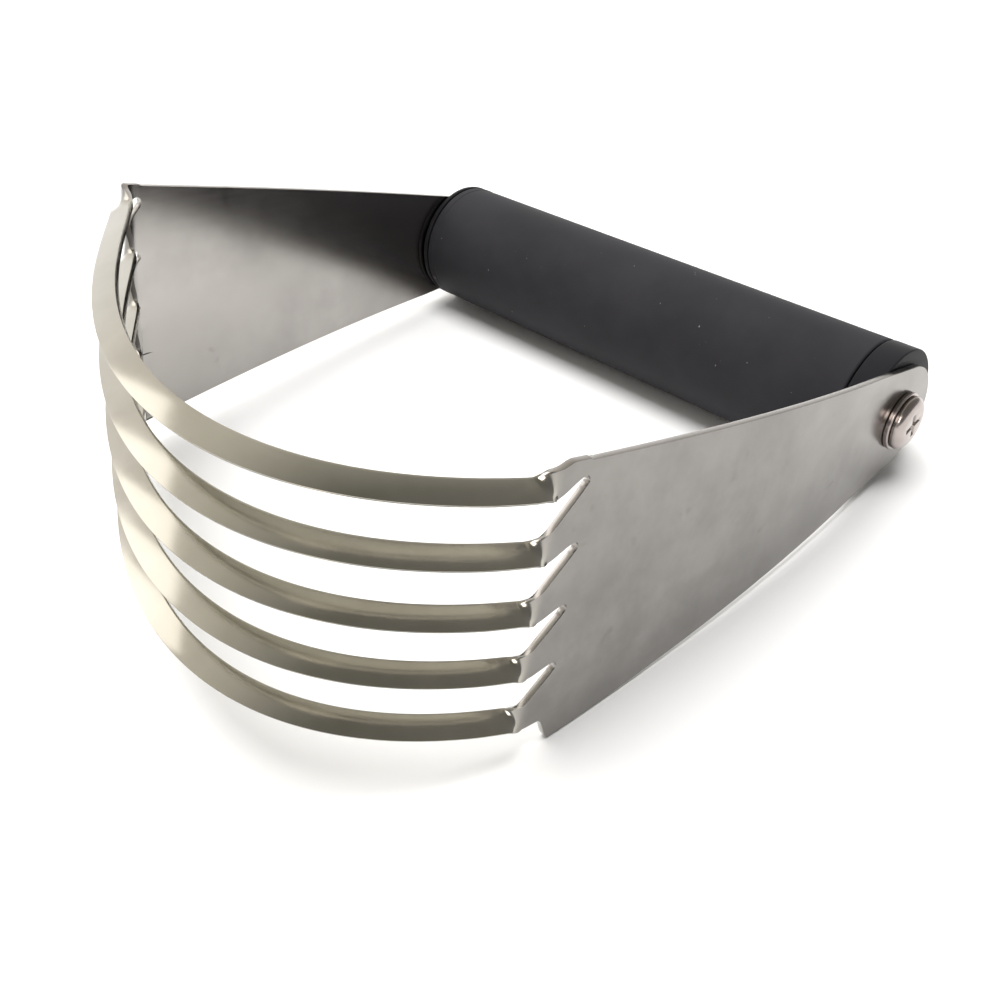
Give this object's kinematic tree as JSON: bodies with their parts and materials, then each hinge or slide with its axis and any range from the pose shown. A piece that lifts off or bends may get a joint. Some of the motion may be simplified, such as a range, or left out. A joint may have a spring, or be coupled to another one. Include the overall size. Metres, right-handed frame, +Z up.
{
  "type": "pastry blender",
  "caption": "Hand pastry blender: twisted steel strips in one bowed frame, screwed to a black cylindrical grip.",
  "frame": {"origin": "centre of the bounding box in plan, at the level of the surface the tool lies on", "axes": "+X along the grip towards the end with the longer cap, -Y towards the strips, +Z up"},
  "size_m": [0.1102, 0.1246, 0.0503],
  "materials": {
    "satin_stainless_steel": "fine satin sheet, brighter on the strips",
    "polished_steel": "polished",
    "black_soft_grip": "matt soft-touch",
    "black_plastic": "satin moulded"
  },
  "bodies": {
    "root": {"blade_frame": "satin_stainless_steel", "grip_sleeve": "black_soft_grip", "handle_core": "black_plastic", "end_cap_left": "black_plastic", "end_cap_right": "black_plastic", "washer_left": "polished_steel", "washer_right": "polished_steel", "screw_left": "polished_steel", "screw_right": "polished_steel"}
  },
  "joints": []
}
